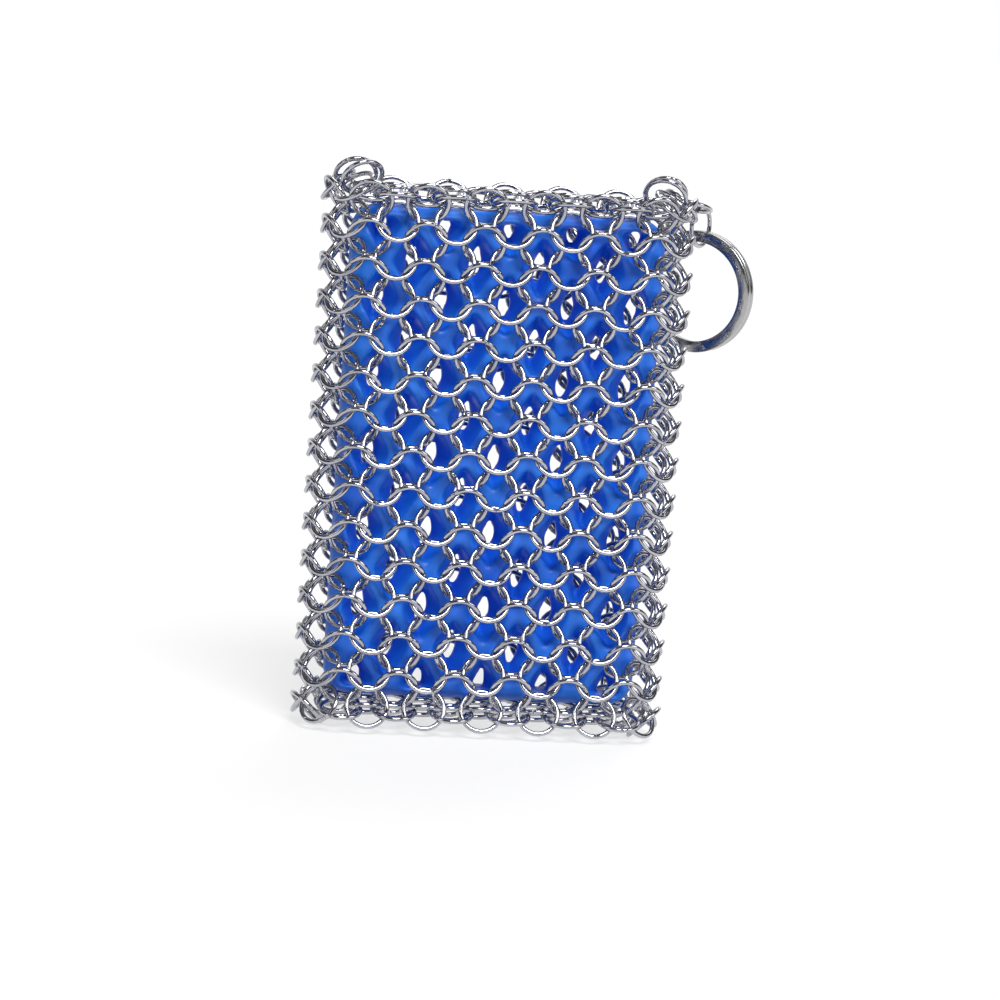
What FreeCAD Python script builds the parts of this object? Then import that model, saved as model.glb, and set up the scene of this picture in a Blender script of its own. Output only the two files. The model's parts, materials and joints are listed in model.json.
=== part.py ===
import FreeCAD, Part
import math
import os

Vector = FreeCAD.Vector
Rotation = FreeCAD.Rotation
Placement = FreeCAD.Placement

UP = Vector(0, 0, 1)
RIGHT = Vector(1, 0, 0)
NOWHERE = Vector(0, 0, 0)

doc = FreeCAD.newDocument("pot_scrubber")


# Driving dimensions in millimetres, degrees and counts
driving = {
    "link_diameter": 9.2,
    "wire_diameter": 1.0,
    "link_slit": 0.1,
    "link_play": 0.07,
    "slit_turn": 137.5,
    "row_pairs": 14,
    "link_pairs_across": 3,
    "closing_row_pairs": 3,
    "sheet_lean": 20.0,
    "bend_lean": 25.0,
    "closing_lean": 24.0,
    "corner_lean": 48.0,
    "tie_lean": 35.0,
    "core_clearance": 0.25,
    "core_edge_radius": 5.4,
    "core_border": 2.4,
    "hole_pitch_across": 12.8,
    "hole_pitch_along": 15.6,
    "hole_width": 9.0,
    "hole_length": 13.6,
    "hole_tip_radius": 1.0,
    "slit_width": 2.2,
    "slit_length": 9.6,
    "slit_tip_radius": 0.5,
    "slit_tilt": 10.0,
    "ring_diameter": 25.0,
    "ring_band": 2.3,
    "coil_thickness": 1.3,
    "coil_gap": 0.1,
    "crossover_angle": 40.0,
    "ring_turn": 54.0,
    "ring_seat": 0.15,
    "hook_turn": 45.0,
    "hook_dip": 15.0,
    "cut_overrun": 1.0,
}

sheet = doc.addObject("Spreadsheet::Sheet", "sizes")
for line, (alias, value) in enumerate(driving.items(), start=1):
    sheet.set(f"A{line}", alias)
    sheet.set(f"B{line}", str(value))
    sheet.setAlias(f"B{line}", alias)
doc.recompute()


def size(alias):
    return float(getattr(sheet, alias))


def degrees(alias):
    return math.radians(size(alias))


def bind(part, **expressions):
    for name, expression in expressions.items():
        part.setExpression(name, expression)


# The weave: each link threads four others, in rows that lean out at the top and at the bottom by turns
pitch_share = 1.618
row_step_share = 0.521
side_radius_share = 1.23
bend_lap_share = 0.74

wire = size("wire_diameter")
rim_radius = (size("link_diameter") - wire) / 2
link_bore = size("link_diameter") - 2 * wire
pitch = pitch_share * link_bore
row_step = row_step_share * link_bore
least_spacing = wire + size("link_play")

half_across = int(size("link_pairs_across"))
links_round = 4 * half_across + 3
row_count = 2 * int(size("row_pairs"))
closing_row_count = 2 * int(size("closing_row_pairs"))
side_radius = side_radius_share * link_bore
bend_length = math.pi * side_radius
flat_count = half_across - bend_lap_share
flat_half = flat_count * pitch
bend_pitch = bend_length / (links_round / 2 - 2 * flat_count)


class Link:
    """One wire ring of the mail: a circle with a centre and an axis."""

    def __init__(self, centre, axis, held=False):
        self.centre = centre
        self.axis = axis.normalize()
        self.home = Vector(centre)
        self.held = held

    def across(self):
        side = self.axis.cross(UP if abs(self.axis.z) < abs(self.axis.x) + abs(self.axis.y) else RIGHT)
        return side.normalize()

    def rim(self, count):
        first = self.across() * rim_radius
        second = self.axis.cross(first)
        turns = [2 * math.pi * step / count for step in range(count)]
        return [self.centre + first * math.cos(turn) + second * math.sin(turn) for turn in turns]

    def onto_rim(self, point):
        offset = point - self.centre
        offset = offset - self.axis * offset.dot(self.axis)
        return self.centre + offset.normalize() * rim_radius

    def rim_gap(self, point):
        offset = point - self.centre
        height = offset.dot(self.axis)
        reach = math.sqrt(max(offset.dot(offset) - height * height, 0.0))
        return math.hypot(reach - rim_radius, height)

    def topmost(self):
        rise = UP - self.axis * self.axis.z
        return self.centre + rise.normalize() * rim_radius

    def spread(self, direction):
        return rim_radius * math.sqrt(max(1 - self.axis.dot(direction) ** 2, 0.0)) + wire / 2

    def moved(self, shift):
        return Link(self.centre + shift, Vector(self.axis), held=True)

    def half_turned(self, level):
        centre = Vector(self.centre.x, -self.centre.y, 2 * level - self.centre.z)
        return Link(centre, Vector(self.axis.x, -self.axis.y, -self.axis.z), held=True)


def nearest_points(first, second, rim_samples=24, refinements=8):
    point = min(first.rim(rim_samples), key=second.rim_gap)
    for _ in range(refinements):
        other = second.onto_rim(point)
        point = first.onto_rim(other)
    return point, other


def settle(free, pairs, rounds, pull_share=0.01, step_share=0.9):
    """Push wires that are too close apart, link by link, while each link is drawn back to its home."""
    turn_ease = 2 / rim_radius ** 2
    for turn in range(rounds):
        shifts = {link: Vector() for link in free}
        spins = {link: Vector() for link in free}
        for first, second, shift in pairs:
            image = second.moved(shift)
            if first.centre.distanceToPoint(image.centre) > 2 * rim_radius + least_spacing:
                continue
            here, there = nearest_points(first, image)
            push = here - there
            lack = least_spacing - push.Length
            if lack <= 0:
                continue
            push.normalize()
            arms = [(first, here - first.centre, push), (second, there - image.centre, -push)]
            arms = [(link, arm.cross(way), way) for link, arm, way in arms if not link.held]
            ease = sum(1 + turn_ease * lever.dot(lever) for _, lever, _ in arms)
            for link, lever, way in arms:
                shifts[link] += way * (lack / ease)
                spins[link] += lever * (turn_ease * lack / ease)
        pull = pull_share * max(1 - 2 * turn / rounds, 0)
        for link in free:
            link.centre += shifts[link] * step_share + (link.home - link.centre) * pull
            link.axis = (link.axis + (spins[link] * step_share).cross(link.axis)).normalize()


# The hoops round the bag: path from the middle of the front, round a half-round side, to the back
def path_length(place):
    reach = abs(place)
    if reach <= flat_count:
        run = reach * pitch
    elif reach <= links_round / 2 - flat_count:
        run = flat_half + (reach - flat_count) * bend_pitch
    else:
        run = flat_half + bend_length + (reach - links_round / 2 + flat_count) * pitch
    return math.copysign(run, place)


def path_frame(place):
    run = abs(path_length(place))
    if run <= flat_half:
        point, outward = Vector(run, -side_radius, 0), Vector(0, -1, 0)
    elif run <= flat_half + bend_length:
        turn = (run - flat_half) / side_radius
        outward = Vector(math.sin(turn), -math.cos(turn), 0)
        point = Vector(flat_half, 0, 0) + outward * side_radius
    else:
        point, outward = Vector(2 * flat_half + bend_length - run, side_radius, 0), Vector(0, 1, 0)
    side = math.copysign(1, place)
    return Vector(side * point.x, point.y, 0), Vector(side * outward.x, outward.y, 0)


def hoop_places(start):
    places = [start + step for step in range(links_round)]
    return [place if place <= links_round / 2 else place - links_round for place in places]


def hoop_link(place, level, lean_sign):
    point, outward = path_frame(place)
    on_bend = abs(outward.x) > 0 or abs(abs(path_length(place)) - flat_half) < pitch / 2
    lean = degrees("bend_lean") if on_bend else degrees("sheet_lean")
    return Link(point + UP * level, outward * math.cos(lean) + UP * (lean_sign * math.sin(lean)))


top_leaning = {place: hoop_link(place, 0, -1) for place in hoop_places(0.5)}
foot_leaning = {place: hoop_link(place, row_step, 1) for place in hoop_places(0)}
tops = list(top_leaning.values())
feet = list(foot_leaning.values())
hoop_pairs = []
for index in range(links_round):
    following = (index + 1) % links_round
    for neighbour in (feet[index], feet[following]):
        hoop_pairs.append((tops[index], neighbour, NOWHERE))
        hoop_pairs.append((tops[index], neighbour, UP * (-2 * row_step)))
    hoop_pairs.append((tops[index], tops[following], NOWHERE))
    hoop_pairs.append((feet[index], feet[following], NOWHERE))
for rounds in (400, 200):
    settle(tops + feet, hoop_pairs, rounds)
    for index, top in enumerate(tops):
        foot = feet[(2 * half_across + 1 - index) % links_round]
        twin = foot.half_turned(row_step / 2)
        top.centre = (top.centre + twin.centre) / 2
        top.axis = (top.axis + twin.axis).normalize()
        twin = top.half_turned(row_step / 2)
        foot.centre = twin.centre
        foot.axis = twin.axis


# The closing rows: they carry the sheet over the top from the front's last row to the back's
fold_share = 0.35
rise_share = 0.30
end_share = 0.97
corner_inset_share = 0.2
corner_step_share = 0.85
tie_rise_share = 0.6
fold = fold_share * rim_radius
rise = rise_share * rim_radius
corner_inset = corner_inset_share * rim_radius
tie_rise = tie_rise_share * rim_radius
closing_lean = degrees("closing_lean")


def closing_row(number):
    front_up = number % 2 == 0
    reach = half_across - (1 if front_up else 0.5)
    back_share = number / (closing_row_count - 1)
    depth = (2 * back_share - 1) * (side_radius - fold)
    axis = Vector(0, math.sin(closing_lean) * (1 if front_up else -1), math.cos(closing_lean))
    row = []
    for step in range(int(2 * reach) + 1):
        place = step - reach
        inset = end_share if not front_up and abs(place) == reach else 1
        row.append(Link(Vector(place * pitch * inset, depth, rise), Vector(axis)))
    return row


def corner_link(place):
    point, outward = path_frame(place)
    lean = degrees("corner_lean")
    centre = point - outward * corner_inset + UP * (2 * rise)
    return Link(centre, outward * math.cos(lean) + UP * math.sin(lean))


def tie_link(first, second):
    across_span = UP.cross(second.centre - first.centre).normalize()
    forward = across_span * math.copysign(1, across_span.y)
    lean = degrees("tie_lean")
    centre = (first.centre + second.centre) / 2 + UP * tie_rise
    return Link(centre, forward * math.cos(lean) + UP * math.sin(lean))


closing_rows = [closing_row(number) for number in range(closing_row_count)]
corner_links = []
for side, end in ((1, -1), (-1, 0)):
    for step, row in enumerate((closing_rows[1], closing_rows[3])):
        corner = corner_link(side * (half_across + step * corner_step_share))
        corner_links += [corner, tie_link(row[end], corner)]

# The hook and the hanger: two more links at the back right, which carry the split ring clear of the bag
carrier_place = half_across + 1.5
carrier = top_leaning[carrier_place]
carrier_outward = path_frame(carrier_place)[1]
carrier_rise = (UP - carrier.axis * carrier.axis.z).normalize()
carrier_front = carrier.axis.cross(carrier_rise)
hook_turn = degrees("hook_turn")
hook_dip = degrees("hook_dip")
ring_turn = degrees("ring_turn")
link_drop = rim_radius - least_spacing
hook_limb = carrier_rise * math.cos(hook_turn) + carrier_front * math.sin(hook_turn)
hook_way = carrier_outward * math.cos(hook_dip) - UP * math.sin(hook_dip)
hook_axis = carrier_outward * math.sin(hook_dip) + UP * math.cos(hook_dip)
hook = Link(carrier.centre + hook_limb * rim_radius + hook_way * link_drop, hook_axis)
hook_end = hook.centre + hook_way * rim_radius
ring_axis = Vector(math.cos(ring_turn), math.sin(ring_turn), 0)
hanger = Link(hook_end - UP * link_drop, ring_axis.cross(UP))

top_row = [link.moved(NOWHERE) for link in tops]
next_row = [link.moved(UP * (-2 * row_step)) for link in feet]
closing = [link for row in closing_rows for link in row] + corner_links + [hook, hanger]
reach_share = 1.2
closing_pairs = []
for index, link in enumerate(closing):
    for other in closing[index + 1:] + top_row + next_row:
        if link.centre.distanceToPoint(other.centre) < reach_share * size("link_diameter"):
            closing_pairs.append((link, other, NOWHERE))
settle(closing, closing_pairs, rounds=240)


# The bag's levels: its lowest wire, at the bottom corners, stands on the ground
middle_level = -(row_count - 1) * row_step / 2
bottom_corners = [link.half_turned(middle_level) for link in corner_links[::2]]
lift = max(link.spread(UP) - link.centre.z for link in bottom_corners)


def shape_link(link, name):
    ring = doc.addObject("Part::Torus", name)
    bind(
        ring,
        Radius1="(sizes.link_diameter - sizes.wire_diameter) / 2",
        Radius2="sizes.wire_diameter / 2",
        Angle3="360 - sizes.link_slit / (pi * (sizes.link_diameter - sizes.wire_diameter)) * 360",
    )
    slit_side = Rotation(UP, size("slit_turn") * len(shaped_links))
    ring.Placement = Placement(link.centre + UP * lift, Rotation(UP, link.axis) * slit_side)
    shaped_links.append(ring)
    return ring


def shape_row(label, links):
    row = doc.addObject("Part::Compound", label)
    row.Links = [shape_link(link, f"{label}_link") for link in links]
    return row


shaped_links = []
pieces = []
for number in range(1, row_count + 1):
    steps_down = row_count - number
    hoop = feet if steps_down % 2 else tops
    shift = UP * (-row_step * (steps_down + steps_down % 2))
    pieces.append(shape_row(f"mail_row_{number:02d}", [link.moved(shift) for link in hoop]))
for number, row in enumerate(closing_rows, start=1):
    pieces.append(shape_row(f"top_closing_row_{number}", row))
    turned = [link.half_turned(middle_level) for link in row]
    pieces.append(shape_row(f"bottom_closing_row_{number}", turned))
half = len(corner_links) // 2
pieces.append(shape_row("top_corner_links_right", corner_links[:half] + [hook]))
pieces.append(shape_row("top_corner_links_left", corner_links[half:]))
pieces.append(shape_row("bottom_corner_links_right", bottom_corners[:half // 2]))
pieces.append(shape_row("bottom_corner_links_left", bottom_corners[half // 2:]))

hang_link = shape_link(hanger, "hang_link")
pieces.append(hang_link)


# The room inside the mail, measured to the nearest wires, and the core that it takes
FORWARD = Vector(0, 1, 0)
edge_most_share = 0.95
rim_points = 48


def side_room(link):
    from_bend = Vector(abs(link.centre.x) - flat_half, link.centre.y, 0)
    outward = Vector(math.copysign(from_bend.x, link.centre.x), from_bend.y, 0).normalize()
    return from_bend.Length - link.spread(outward)


def top_room(point):
    """The highest level of a round-edged core that stays clear of a wire with its middle at this point."""
    beyond = [max(abs(point.x) - flat_half, 0), max(abs(point.y) - half_depth + edge_radius, 0)]
    reach = edge_radius + wire / 2 + size("core_clearance")
    return point.z + edge_radius - math.sqrt(max(reach ** 2 - beyond[0] ** 2 - beyond[1] ** 2, 0))


hoop_rooms = []
for link in tops + feet:
    on_side = abs(link.centre.x) > flat_half
    hoop_rooms.append(side_room(link) if on_side else abs(link.centre.y) - link.spread(FORWARD))
half_depth = min(hoop_rooms) - size("core_clearance")
edge_radius = min(size("core_edge_radius"), edge_most_share * half_depth)
lid_links = [link for row in closing_rows for link in row] + corner_links
core_top = min(top_room(point) for link in lid_links for point in link.rim(rim_points))
room = {
    "core_width": 2 * (flat_half + edge_radius),
    "core_depth": 2 * half_depth,
    "core_height": 2 * (core_top - middle_level),
    "edge_radius": edge_radius,
}
for line, (alias, value) in enumerate(room.items(), start=len(driving) + 1):
    sheet.set(f"A{line}", alias)
    sheet.set(f"B{line}", str(value))
    sheet.setAlias(f"B{line}", alias)
doc.recompute()


# The silicone core: a block with rounded edges, and lozenge holes in rows that narrow to a tilted slit
core_centre = Vector(0, 0, middle_level + lift)


def centred(part, centre):
    part.Placement = Placement(centre - Vector(part.Length, part.Width, part.Height) / 2, Rotation())


core_block = doc.addObject("PartDesign::Body", "core_block")
block = core_block.newObject("PartDesign::AdditiveBox", "block")
bind(block, Length="sizes.core_width", Width="sizes.core_depth", Height="sizes.core_height")
doc.recompute()
centred(block, core_centre)
rounding = core_block.newObject("PartDesign::Fillet", "rounding")
rounding.Base = (block, [""])
rounding.UseAllEdges = True
bind(rounding, Radius="sizes.edge_radius")


def lozenge(width, length, tip_radius, depth):
    """A closed outline at one depth: four straight flanks, joined by round tips."""
    flank = math.hypot(width, length)
    lean_x, lean_z = length / flank, width / flank
    inset = width * length / (2 * flank) - tip_radius
    side_x, top_z = inset / lean_x, inset / lean_z
    beside_top = Vector(tip_radius * lean_x, depth, top_z + tip_radius * lean_z)
    beside_side = Vector(side_x + tip_radius * lean_x, depth, tip_radius * lean_z)
    top = Vector(0, depth, top_z + tip_radius)
    side = Vector(side_x + tip_radius, depth, 0)

    def mirrored(point, across, along):
        return Vector(across * point.x, point.y, along * point.z)

    edges = []
    for across, along in ((1, 1), (1, -1), (-1, -1), (-1, 1)):
        flank_ends = [mirrored(point, across, along) for point in (beside_top, beside_side)]
        edges.append(Part.LineSegment(*flank_ends).toShape())
    for sign in (1, -1):
        top_tip = (mirrored(beside_top, -1, sign), mirrored(top, 1, sign), mirrored(beside_top, 1, sign))
        side_tip = (mirrored(beside_side, sign, -1), mirrored(side, sign, 1), mirrored(beside_side, sign, 1))
        edges.append(Part.Arc(*top_tip).toShape())
        edges.append(Part.Arc(*side_tip).toShape())
    return Part.Wire(Part.__sortEdges__(edges))


face_depth = block.Width.Value / 2 + size("cut_overrun")
face_hole = (size("hole_width"), size("hole_length"), size("hole_tip_radius"))
slit = (size("slit_width"), size("slit_length"), size("slit_tip_radius"))
waist = lozenge(*slit, 0)
waist.rotate(NOWHERE, FORWARD, size("slit_tilt"))
hole = Part.makeLoft([lozenge(*face_hole, -face_depth), waist, lozenge(*face_hole, face_depth)], True, True)
half_columns = int(block.Length.Value / size("hole_pitch_across"))
half_rows = int(block.Height.Value / size("hole_pitch_along"))
hole_copies = []
for column in range(-half_columns, half_columns + 1):
    for row in range(-half_rows, half_rows + 1):
        if (column + row) % 2 == 0:
            copy = hole.copy()
            offset = Vector(column * size("hole_pitch_across") / 2, 0, row * size("hole_pitch_along") / 2)
            copy.translate(core_centre + offset)
            hole_copies.append(copy)
holes = doc.addObject("Part::Feature", "holes")
holes.Shape = Part.makeCompound(hole_copies)

window = doc.addObject("Part::Box", "hole_window")
bind(
    window,
    Length="sizes.core_width - 2 * sizes.core_border",
    Width="sizes.core_depth + 4 * sizes.cut_overrun",
    Height="sizes.core_height - 2 * sizes.core_border",
)
doc.recompute()
centred(window, core_centre)
pierced = doc.addObject("Part::Common", "pierced")
pierced.Base = holes
pierced.Tool = window
core = doc.addObject("Part::Cut", "silicone_core")
core.Base = core_block
core.Tool = pierced
pieces.append(core)


# The split ring: one flat strip wound twice round, its coils joined by a ramp, hung in the hanger
hanger_rise = (UP - hanger.axis * hanger.axis.z).normalize()
seat_point = hanger.centre - hanger_rise * rim_radius + UP * lift
swing_axis = UP.cross(hanger.axis).normalize()
ring_radius = size("ring_diameter") / 2
bore_radius = ring_radius - size("ring_band")
coil_step = size("coil_thickness") + size("coil_gap")
half_stack = coil_step / 2 + size("coil_thickness") / 2
wire_bore = rim_radius - wire / 2
wire_curve = wire_bore - math.sqrt(wire_bore ** 2 - half_stack ** 2)
ring_drop = bore_radius - wire / 2 - wire_curve - size("ring_seat")
ring_place = Placement(seat_point - UP * ring_drop, Rotation(UP.cross(swing_axis), UP, swing_axis, "ZYX"))
crossover = degrees("crossover_angle")
foot_turn = -math.pi / 2


def coil(name, level):
    turn = Rotation(UP, math.degrees(foot_turn + crossover / 2))
    disc = doc.addObject("Part::Cylinder", f"{name}_disc")
    bind(
        disc,
        Radius="sizes.ring_diameter / 2",
        Height="sizes.coil_thickness",
        Angle="360 - sizes.crossover_angle",
    )
    disc.Placement = ring_place * Placement(UP * level, turn)
    bore = doc.addObject("Part::Cylinder", f"{name}_bore")
    bind(
        bore,
        Radius="sizes.ring_diameter / 2 - sizes.ring_band",
        Height="sizes.coil_thickness + 2 * sizes.cut_overrun",
    )
    bore.Placement = ring_place * Placement(UP * (level - size("cut_overrun")), turn)
    flat_coil = doc.addObject("Part::Cut", name)
    flat_coil.Base = disc
    flat_coil.Tool = bore
    return flat_coil


def strip_section(turn, level):
    corners = []
    for radius, height in (
        (bore_radius, level),
        (ring_radius, level),
        (ring_radius, level + size("coil_thickness")),
        (bore_radius, level + size("coil_thickness")),
    ):
        corners.append(Vector(radius * math.cos(turn), radius * math.sin(turn), height))
    return Part.makePolygon(corners + corners[:1])


ramp_steps = 12
ramp_sections = []
for step in range(ramp_steps + 1):
    share = step / ramp_steps
    ease = (1 - math.cos(math.pi * share)) / 2
    turn = foot_turn + crossover * (share - 1 / 2)
    ramp_sections.append(strip_section(turn, -half_stack + coil_step * ease))
ramp = doc.addObject("Part::Feature", "crossover_ramp")
ramp.Shape = Part.makeLoft(ramp_sections, True, True)
ramp.Placement = ring_place
split_ring = doc.addObject("Part::MultiFuse", "split_ring")
split_ring.Shapes = [coil("back_coil", -half_stack), coil("front_coil", -half_stack + coil_step), ramp]
pieces.append(split_ring)


# Checks and files
doc.recompute()
for item in doc.Objects:
    if "Invalid" in item.State or "Error" in item.State:
        raise RuntimeError(f"{item.Label} did not build")
for piece in pieces:
    if piece.Shape.isNull() or not piece.Shape.isValid():
        raise RuntimeError(f"{piece.Label} has no valid shape")
os.makedirs("parts", exist_ok=True)
for piece in pieces:
    piece.Shape.exportStep(f"parts/{piece.Label}.step")
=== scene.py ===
import json
import math

import bpy
import numpy as np
from mathutils import Matrix, Vector

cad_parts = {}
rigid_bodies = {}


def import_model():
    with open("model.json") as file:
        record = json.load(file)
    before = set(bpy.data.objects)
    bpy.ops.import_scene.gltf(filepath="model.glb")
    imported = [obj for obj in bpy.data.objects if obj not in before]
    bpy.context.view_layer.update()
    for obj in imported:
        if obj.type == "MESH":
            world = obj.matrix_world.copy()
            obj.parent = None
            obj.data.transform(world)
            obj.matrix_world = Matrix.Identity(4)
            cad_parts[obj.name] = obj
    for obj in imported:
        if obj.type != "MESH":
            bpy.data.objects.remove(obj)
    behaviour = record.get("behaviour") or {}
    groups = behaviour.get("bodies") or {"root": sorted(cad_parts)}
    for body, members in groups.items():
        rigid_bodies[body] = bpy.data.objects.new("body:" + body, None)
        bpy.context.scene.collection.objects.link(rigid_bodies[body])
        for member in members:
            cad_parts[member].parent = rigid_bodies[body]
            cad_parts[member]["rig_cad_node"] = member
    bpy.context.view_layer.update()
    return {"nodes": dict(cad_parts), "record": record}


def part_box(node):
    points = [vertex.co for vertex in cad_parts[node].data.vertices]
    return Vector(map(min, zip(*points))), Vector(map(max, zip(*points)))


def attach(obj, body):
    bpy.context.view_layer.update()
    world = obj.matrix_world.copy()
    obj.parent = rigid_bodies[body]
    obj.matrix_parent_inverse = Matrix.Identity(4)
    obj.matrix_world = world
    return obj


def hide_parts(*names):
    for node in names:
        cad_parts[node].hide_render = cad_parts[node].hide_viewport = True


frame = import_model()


# Silicone core: one soft blue moulding that fills the pouch, with rounded edges all round.
# Lozenge holes in staggered rows run right through it, and narrow to a slit half way,
# as the two halves of the mould leave them. It is held by nothing but the mail round it.
core_edge_radius = 0.0054
core_border = 0.0024
hole_pitch = Vector((0.0128, 0.0, 0.0156))
hole_width = 0.009
hole_length = 0.0136
hole_tip_bevel = 0.0012
slit_width = 0.0022
slit_length = 0.0096
slit_tilt = math.radians(10)
hole_overrun = 0.001
core_edge_steps = 8
lozenge_corners = 4
hole_tip_steps = 4
core_skin_size = 0.0006
core_skin_passes = 6
noise_low = 0.3
noise_high = 0.7
silicone_deep = (0.004, 0.112, 0.76)
silicone_light = (0.016, 0.240, 0.98)
silicone_cloud_scale = 45
silicone_patch_scale = 300
silicone_roughness = (0.36, 0.52)
silicone_grain_scale = 2200
silicone_grain_height = 0.00004
silicone_grain_strength = 0.5
silicone_specular = 0.6
silicone_scatter = 0.06
silicone_scatter_reach = (0.2, 0.4, 1.0)
silicone_scatter_depth = 0.003


def select_only(piece):
    bpy.ops.object.select_all(action="DESELECT")
    piece.select_set(True)
    bpy.context.view_layer.objects.active = piece


def rest_in_place(piece):
    select_only(piece)
    bpy.ops.object.transform_apply(location=True, rotation=True, scale=True)


def apply_modifiers(piece):
    select_only(piece)
    for modifier in list(piece.modifiers):
        bpy.ops.object.modifier_apply(modifier=modifier.name)


def select_edges(piece, wanted):
    bpy.ops.object.mode_set(mode="EDIT")
    bpy.ops.mesh.select_all(action="DESELECT")
    bpy.ops.object.mode_set(mode="OBJECT")
    corners = piece.data.vertices
    for edge in piece.data.edges:
        first, second = (corners[index].co for index in edge.vertices)
        edge.select = wanted(first, second)
    bpy.ops.object.mode_set(mode="EDIT")
    bpy.ops.mesh.select_mode(type="EDGE")


def core_block(low, high):
    bpy.ops.object.select_all(action="DESELECT")
    bpy.ops.mesh.primitive_cube_add(size=1, location=(low + high) / 2)
    block = bpy.context.active_object
    block.scale = high - low
    rest_in_place(block)
    bpy.ops.object.mode_set(mode="EDIT")
    bpy.ops.mesh.select_all(action="SELECT")
    bpy.ops.mesh.bevel(offset=core_edge_radius, segments=core_edge_steps, affect="EDGES")
    bpy.ops.object.mode_set(mode="OBJECT")
    return block


def hole_plug(depth):
    bpy.ops.object.select_all(action="DESELECT")
    bpy.ops.mesh.primitive_cylinder_add(
        vertices=lozenge_corners, radius=1 / 2, depth=depth, rotation=(math.pi / 2, 0, 0)
    )
    plug = bpy.context.active_object
    rest_in_place(plug)
    plug.scale = (hole_width, 1, hole_length)
    rest_in_place(plug)
    select_edges(plug, lambda first, second: abs(first.y - second.y) > depth / 2)
    bpy.ops.mesh.bevel(offset=hole_tip_bevel, segments=hole_tip_steps, affect="EDGES")
    bpy.ops.mesh.select_all(action="SELECT")
    bpy.ops.mesh.bisect(plane_co=(0, 0, 0), plane_no=(0, 1, 0))
    bpy.ops.transform.resize(
        value=(slit_width / hole_width, 1, slit_length / hole_length), center_override=(0, 0, 0)
    )
    bpy.ops.transform.rotate(value=-slit_tilt, orient_axis="Y", center_override=(0, 0, 0))
    bpy.ops.object.mode_set(mode="OBJECT")
    return plug


def pierced_core():
    low, high = (Vector(corner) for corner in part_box("silicone_core"))
    middle = (low + high) / 2
    core = core_block(low, high)
    plug = hole_plug(high.y - low.y + 2 * hole_overrun)
    columns = int((high.x - low.x) / hole_pitch.x)
    rows = int((high.z - low.z) / hole_pitch.z)
    plugs = []
    for column in range(-columns, columns + 1):
        for row in range(-rows, rows + 1):
            if (column + row) % 2 == 0:
                copy = plug.copy()
                copy.data = plug.data.copy()
                step = Vector((column * hole_pitch.x / 2, 0, row * hole_pitch.z / 2))
                copy.data.transform(Matrix.Translation(middle + step))
                bpy.context.collection.objects.link(copy)
                plugs.append(copy)
    bpy.data.objects.remove(plug)
    select_only(plugs[0])
    for copy in plugs:
        copy.select_set(True)
    bpy.ops.object.join()
    cutter = bpy.context.active_object
    window_low = low + Vector((core_border, 0, core_border))
    window_high = high - Vector((core_border, 0, core_border))
    bpy.ops.object.mode_set(mode="EDIT")
    for corner, way in ((window_low, -1), (window_high, 1)):
        for normal in ((way, 0, 0), (0, 0, way)):
            bpy.ops.mesh.select_all(action="SELECT")
            bpy.ops.mesh.bisect(plane_co=corner, plane_no=normal, use_fill=True, clear_outer=True)
    bpy.ops.object.mode_set(mode="OBJECT")
    cut = core.modifiers.new("holes", "BOOLEAN")
    cut.operation = "DIFFERENCE"
    cut.solver = "EXACT"
    cut.object = cutter
    skin = core.modifiers.new("skin", "REMESH")
    skin.mode = "VOXEL"
    skin.voxel_size = core_skin_size
    soften = core.modifiers.new("soften", "SMOOTH")
    soften.iterations = core_skin_passes
    apply_modifiers(core)
    bpy.data.objects.remove(cutter)
    bpy.ops.object.shade_smooth()
    return core


class Shader:
    """A material and its node tree, with the surface shader at hand."""

    def __init__(self, name):
        self.material = bpy.data.materials.new(name)
        self.material.use_nodes = True
        self.tree = self.material.node_tree
        self.surface = self.tree.nodes["Principled BSDF"]
        self.place = self.add("ShaderNodeTexCoord").outputs["Object"]

    def add(self, kind, **inputs):
        node = self.tree.nodes.new(kind)
        for name, value in inputs.items():
            socket = node.inputs[name.replace("_", " ")]
            if isinstance(value, bpy.types.NodeSocket):
                self.tree.links.new(value, socket)
            else:
                socket.default_value = value
        return node

    def noise(self, scale, detail=4.0, roughness=0.55):
        return self.add(
            "ShaderNodeTexNoise", Vector=self.place, Scale=scale, Detail=detail, Roughness=roughness
        ).outputs["Fac"]

    def between(self, factor, low, high):
        span = self.add("ShaderNodeMapRange", Value=factor, To_Min=low, To_Max=high)
        span.inputs["From Min"].default_value = noise_low
        span.inputs["From Max"].default_value = noise_high
        return span.outputs["Result"]

    def colours(self, factor, first, second):
        ramp = self.add("ShaderNodeValToRGB", Fac=factor)
        ramp.color_ramp.elements[0].position = noise_low
        ramp.color_ramp.elements[0].color = (*first, 1)
        ramp.color_ramp.elements[1].position = noise_high
        ramp.color_ramp.elements[1].color = (*second, 1)
        return ramp.outputs["Color"]

    def feed(self, name, source):
        self.tree.links.new(source, self.surface.inputs[name])

    def bump(self, height, distance, strength):
        bump = self.add("ShaderNodeBump", Height=height, Distance=distance, Strength=strength)
        self.feed("Normal", bump.outputs["Normal"])

    def paint(self, piece):
        piece.data.materials.clear()
        piece.data.materials.append(self.material)


silicone = Shader("blue_silicone")
silicone_clouds = silicone.noise(silicone_cloud_scale)
silicone.feed("Base Color", silicone.colours(silicone_clouds, silicone_deep, silicone_light))
silicone_patches = silicone.noise(silicone_patch_scale)
silicone.feed("Roughness", silicone.between(silicone_patches, *silicone_roughness))
silicone_grain = silicone.noise(silicone_grain_scale)
silicone.bump(silicone_grain, silicone_grain_height, silicone_grain_strength)
silicone.surface.inputs["Specular IOR Level"].default_value = silicone_specular
silicone.surface.inputs["Subsurface Weight"].default_value = silicone_scatter
silicone.surface.inputs["Subsurface Radius"].default_value = silicone_scatter_reach
silicone.surface.inputs["Subsurface Scale"].default_value = silicone_scatter_depth

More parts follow.
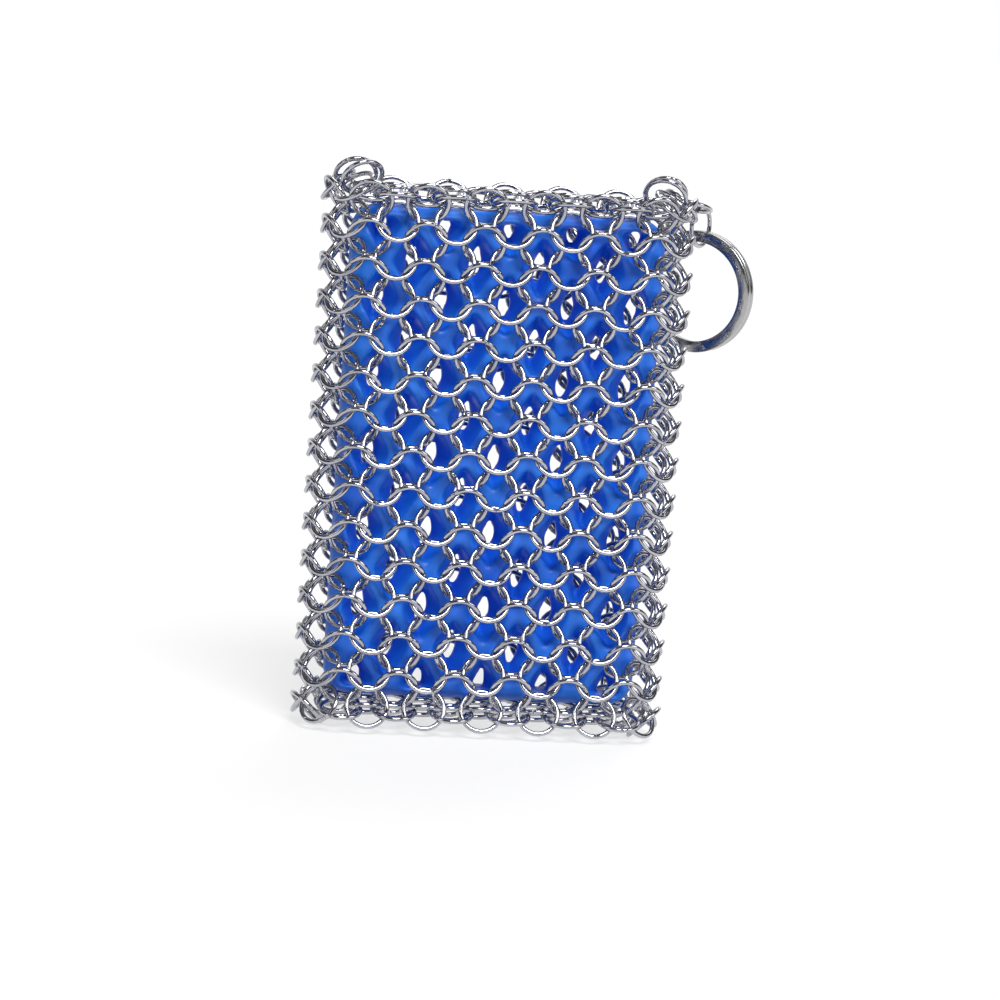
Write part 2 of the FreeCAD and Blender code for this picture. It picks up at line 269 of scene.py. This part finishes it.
core = pierced_core()
core.name = "core_moulding"
silicone.paint(core)
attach(core, "pouch")
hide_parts("silicone_core")


# Mail: rows of links cut from drawn stainless wire, each bent to a ring and butted, not welded.
# They are woven four in one by hand, row upon row, round the core and over both of its ends,
# with a few more links that close the corners and two that hang outside for the split ring.
link_radius = 0.0041
wire_radius = 0.0005
link_slit = 0.0001
link_steps = 24
wire_sides = 8
cut_edge = 0.00006
cut_edge_steps = 2
draw_stretch = 0.05
draw_shift = 0.7
merge_distance = 0.000001
least_turn = 0.01
wire_smooth_angle = math.radians(50)
wire_dark = (0.37, 0.37, 0.41)
wire_bright = (0.54, 0.54, 0.58)
wire_cloud_scale = 160
wire_line_scale = 2500
wire_roughness = (0.07, 0.18)
wire_grain_scale = 7000
wire_grain_height = 0.00001
wire_grain_strength = 0.5
plain_detail = 2.0


def beside_slit(first, second):
    return first.x > 0 and max(abs(first.y), abs(second.y)) < 2 * link_slit


def wire_link():
    """One link, flat round the origin, with its slit at the right and the way of the wire in "drawn"."""
    slit_turn = link_slit / link_radius
    bpy.ops.object.select_all(action="DESELECT")
    bpy.ops.mesh.primitive_circle_add(
        vertices=wire_sides,
        radius=wire_radius,
        fill_type="NGON",
        location=(link_radius, 0, 0),
        rotation=(math.pi / 2, 0, 0),
    )
    link = bpy.context.active_object
    rest_in_place(link)
    link.rotation_euler.z = slit_turn / 2
    rest_in_place(link)
    bpy.ops.object.mode_set(mode="EDIT")
    bpy.ops.mesh.select_all(action="SELECT")
    bpy.ops.mesh.spin(steps=link_steps, angle=2 * math.pi - slit_turn, center=(0, 0, 0), axis=(0, 0, 1))
    bpy.ops.mesh.select_all(action="SELECT")
    bpy.ops.mesh.normals_make_consistent(inside=False)
    bpy.ops.object.mode_set(mode="OBJECT")
    select_edges(link, beside_slit)
    bpy.ops.mesh.bevel(offset=cut_edge, segments=cut_edge_steps, affect="EDGES")
    bpy.ops.object.mode_set(mode="OBJECT")
    drawn = link.data.attributes.new("drawn", "FLOAT_VECTOR", "POINT")
    for corner, mark in zip(link.data.vertices, drawn.data):
        turn = math.atan2(corner.co.y, corner.co.x) % (2 * math.pi)
        reach = math.hypot(corner.co.x, corner.co.y) - link_radius
        mark.vector = (turn * link_radius * draw_stretch, reach, corner.co.z)
    return link


def link_place(points):
    """How a flat link with its slit at the right is carried to the link that these points outline."""
    middle = points.mean(axis=0)
    axis, _, first = np.linalg.eigh(np.cov((points - middle).T))[1].T
    second = np.cross(axis, first)
    flat = (points - middle) @ np.stack((first, second), axis=1)
    rows = np.column_stack((2 * flat, np.ones(len(flat))))
    centre = np.linalg.lstsq(rows, (flat ** 2).sum(axis=1), rcond=None)[0][:2]
    turns = np.sort(np.arctan2(flat[:, 1] - centre[1], flat[:, 0] - centre[0]))
    steps = np.diff(turns, append=turns[0] + 2 * math.pi)
    steps[steps < least_turn] = 2 * math.pi
    slit = turns[steps.argmin()] + steps.min() / 2
    right = first * math.cos(slit) + second * math.sin(slit)
    place = Matrix(np.column_stack((right, np.cross(axis, right), axis))).to_4x4()
    place.translation = Vector(middle + first * centre[0] + second * centre[1])
    return place


def link_places(node):
    select_only(node)
    bpy.ops.object.duplicate()
    bpy.ops.object.mode_set(mode="EDIT")
    bpy.ops.mesh.select_all(action="SELECT")
    bpy.ops.mesh.remove_doubles(threshold=merge_distance)
    bpy.ops.mesh.separate(type="LOOSE")
    bpy.ops.object.mode_set(mode="OBJECT")
    places = []
    for outline in list(bpy.context.selected_objects):
        places.append(link_place(np.array([corner.co for corner in outline.data.vertices])))
        bpy.data.objects.remove(outline)
    return places


def woven_row(node, name, body):
    links = []
    for number, place in enumerate(link_places(node)):
        link = one_link.copy()
        link.data = one_link.data.copy()
        link.data.transform(place)
        for mark in link.data.attributes["drawn"].data:
            mark.vector.x += number * draw_shift
        bpy.context.collection.objects.link(link)
        links.append(link)
    select_only(links[0])
    for link in links:
        link.select_set(True)
    bpy.ops.object.join()
    row = bpy.context.active_object
    row.name = name
    bpy.ops.object.shade_smooth_by_angle(angle=wire_smooth_angle)
    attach(row, body)
    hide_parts(node.name)
    return row


wire_steel = Shader("drawn_wire_steel")
wire_steel.surface.inputs["Metallic"].default_value = 1.0
wire_clouds = wire_steel.noise(wire_cloud_scale)
wire_steel.feed("Base Color", wire_steel.colours(wire_clouds, wire_dark, wire_bright))
wire_way = wire_steel.add("ShaderNodeAttribute")
wire_way.attribute_name = "drawn"
wire_steel.place = wire_way.outputs["Vector"]
wire_lines = wire_steel.noise(wire_line_scale)
wire_steel.feed("Roughness", wire_steel.between(wire_lines, *wire_roughness))
wire_grain = wire_steel.noise(wire_grain_scale, detail=plain_detail)
wire_steel.bump(wire_grain, wire_grain_height, wire_grain_strength)

one_link = wire_link()
for body, names in frame["record"]["behaviour"]["bodies"].items():
    for name in names:
        if name not in ("silicone_core", "split_ring"):
            wire_steel.paint(woven_row(frame["nodes"][name], f"{name}_wire", body))
bpy.data.objects.remove(one_link)


# Split ring: a flat strip of spring steel, wound twice round, with a short ramp from coil to coil.
# Its rolled edges are broken by tumbling, and it is plated bright. It threads the hanging link.
ring_edge = 0.00015
ring_edge_steps = 2
ring_edge_angle = math.radians(50)
ring_smooth_angle = math.radians(40)
ring_dark = (0.38, 0.38, 0.385)
ring_bright = (0.50, 0.50, 0.505)
ring_cloud_scale = 120
ring_patch_scale = 700
ring_roughness = (0.10, 0.24)
ring_grain_scale = 3500
ring_grain_height = 0.00002
ring_grain_strength = 0.3

ring_plating = Shader("bright_plated_ring")
ring_plating.surface.inputs["Metallic"].default_value = 1.0
ring_clouds = ring_plating.noise(ring_cloud_scale)
ring_plating.feed("Base Color", ring_plating.colours(ring_clouds, ring_dark, ring_bright))
ring_patches = ring_plating.noise(ring_patch_scale)
ring_plating.feed("Roughness", ring_plating.between(ring_patches, *ring_roughness))
ring_grain = ring_plating.noise(ring_grain_scale, detail=plain_detail)
ring_plating.bump(ring_grain, ring_grain_height, ring_grain_strength)

select_only(frame["nodes"]["split_ring"])
bpy.ops.object.duplicate()
ring = bpy.context.active_object
ring.name = "split_ring_coils"
del ring["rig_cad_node"]
bpy.ops.object.mode_set(mode="EDIT")
bpy.ops.mesh.select_all(action="SELECT")
bpy.ops.mesh.remove_doubles(threshold=merge_distance)
bpy.ops.object.mode_set(mode="OBJECT")
break_edges = ring.modifiers.new("broken_edges", "BEVEL")
break_edges.width = ring_edge
break_edges.segments = ring_edge_steps
break_edges.limit_method = "ANGLE"
break_edges.angle_limit = ring_edge_angle
apply_modifiers(ring)
bpy.ops.object.shade_smooth_by_angle(angle=ring_smooth_angle)
ring_plating.paint(ring)
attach(ring, "key_ring")
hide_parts("split_ring")


# Floor, light and camera: a white table top that runs to the horizon, soft lamps and a long lens
# a little above the pouch and to its left, tipped so that the pouch leans as it was photographed.
floor_size = 60.0
floor_white = 0.6
floor_glow = 1.1
floor_shades = ((0.92, 0.92, 0.92), (0.94, 0.94, 0.94))
floor_cloud_scale = 3
floor_patch_scale = 40
floor_roughness = (0.6, 0.7)
front_grey = 0.03
white_from = 0.3
white_to = 0.9
room_light = 0.3
photo_width = 1000
pixels_per_metre = 4950
camera_distance = 0.70
camera_azimuth = math.radians(-7)
camera_elevation = math.radians(8)
camera_roll = math.radians(4)
aim_height = 0.0556
aim_pixel = (493, 460)
sensor_width = 0.036
mm_per_metre = 1000


def seen_directly(shader):
    """One for rays from the camera, also after a mirror or a clear piece, and nought for the rest."""
    path = shader.add("ShaderNodeLightPath")
    glossy = shader.add("ShaderNodeMath")
    glossy.operation = "MAXIMUM"
    clear = shader.add("ShaderNodeMath")
    clear.operation = "MAXIMUM"
    shader.tree.links.new(path.outputs["Is Camera Ray"], glossy.inputs[0])
    shader.tree.links.new(path.outputs["Is Glossy Ray"], glossy.inputs[1])
    shader.tree.links.new(glossy.outputs[0], clear.inputs[0])
    shader.tree.links.new(path.outputs["Is Transmission Ray"], clear.inputs[1])
    return clear.outputs[0]


bpy.ops.object.select_all(action="DESELECT")
bpy.ops.mesh.primitive_plane_add(size=floor_size)
floor = bpy.context.active_object
floor.name = "floor"
table_top = Shader("white_table_top")
table_top.feed("Base Color", table_top.colours(table_top.noise(floor_cloud_scale), *floor_shades))
table_top.feed("Roughness", table_top.between(table_top.noise(floor_patch_scale), *floor_roughness))
glow = table_top.add("ShaderNodeEmission", Strength=floor_glow)
share = table_top.add("ShaderNodeMath")
share.operation = "MULTIPLY"
share.inputs[1].default_value = floor_white
table_top.tree.links.new(seen_directly(table_top), share.inputs[0])
whiten = table_top.add("ShaderNodeMixShader", Fac=share.outputs[0])
table_top.tree.links.new(table_top.surface.outputs[0], whiten.inputs[1])
table_top.tree.links.new(glow.outputs[0], whiten.inputs[2])
table_top.tree.links.new(whiten.outputs[0], table_top.tree.nodes["Material Output"].inputs["Surface"])
table_top.paint(floor)


def lamp(name, place, spread, strength):
    """A far soft lamp, which lights the whole floor alike from the side where it stands."""
    light = bpy.data.lights.new(name, "SUN")
    light.angle = math.radians(spread)
    light.energy = strength
    lamp_object = bpy.data.objects.new(name, light)
    lamp_object.rotation_euler = Vector(place).to_track_quat("Z", "Y").to_euler()
    bpy.context.collection.objects.link(lamp_object)


lamp("key_lamp", (0.15, -0.7, 0.75), spread=26, strength=2.6)
lamp("right_lamp", (0.8, -0.5, 0.45), spread=25, strength=0.6)
lamp("left_lamp", (-0.8, -0.5, 0.5), spread=25, strength=0.3)
lamp("back_lamp", (0.3, 0.6, 0.8), spread=30, strength=0.7)
lamp("sky_lamp", (0, 0, 1), spread=100, strength=0.25)


class Studio(Shader):
    """The world round the object: white behind it, grey behind the camera."""

    def __init__(self, name):
        world = bpy.data.worlds.new(name)
        bpy.context.scene.world = world
        world.use_nodes = True
        self.tree = world.node_tree
        self.surface = self.tree.nodes["Background"]
        self.place = self.add("ShaderNodeTexCoord").outputs["Generated"]


studio = Studio("studio")
depth = studio.add("ShaderNodeSeparateXYZ", Vector=studio.place).outputs["Y"]
greys = studio.add("ShaderNodeMapRange", Value=depth, To_Min=front_grey, To_Max=1.0)
greys.inputs["From Min"].default_value = white_from
greys.inputs["From Max"].default_value = white_to
strength = studio.add("ShaderNodeMapRange", Value=seen_directly(studio), To_Min=room_light, To_Max=1.0)
studio.feed("Color", greys.outputs["Result"])
studio.feed("Strength", strength.outputs["Result"])

back = Vector(
    (
        math.sin(camera_azimuth) * math.cos(camera_elevation),
        -math.cos(camera_azimuth) * math.cos(camera_elevation),
        math.sin(camera_elevation),
    )
)
lens = bpy.data.cameras.new("photo_camera")
lens.sensor_width = sensor_width * mm_per_metre
lens.lens = sensor_width * camera_distance * pixels_per_metre / photo_width * mm_per_metre
turn = (-back).to_track_quat("-Z", "Y").to_matrix().to_4x4() @ Matrix.Rotation(camera_roll, 4, "Z")
offset = turn @ Vector(
    (
        (photo_width / 2 - aim_pixel[0]) / pixels_per_metre,
        (aim_pixel[1] - photo_width / 2) / pixels_per_metre,
        0,
    )
)
camera = bpy.data.objects.new("photo_camera", lens)
camera_place = Vector((0, 0, aim_height)) + back * camera_distance + offset
camera.matrix_world = Matrix.Translation(camera_place) @ turn
bpy.context.collection.objects.link(camera)
bpy.context.scene.camera = camera
bpy.context.scene.view_settings.view_transform = "Standard"
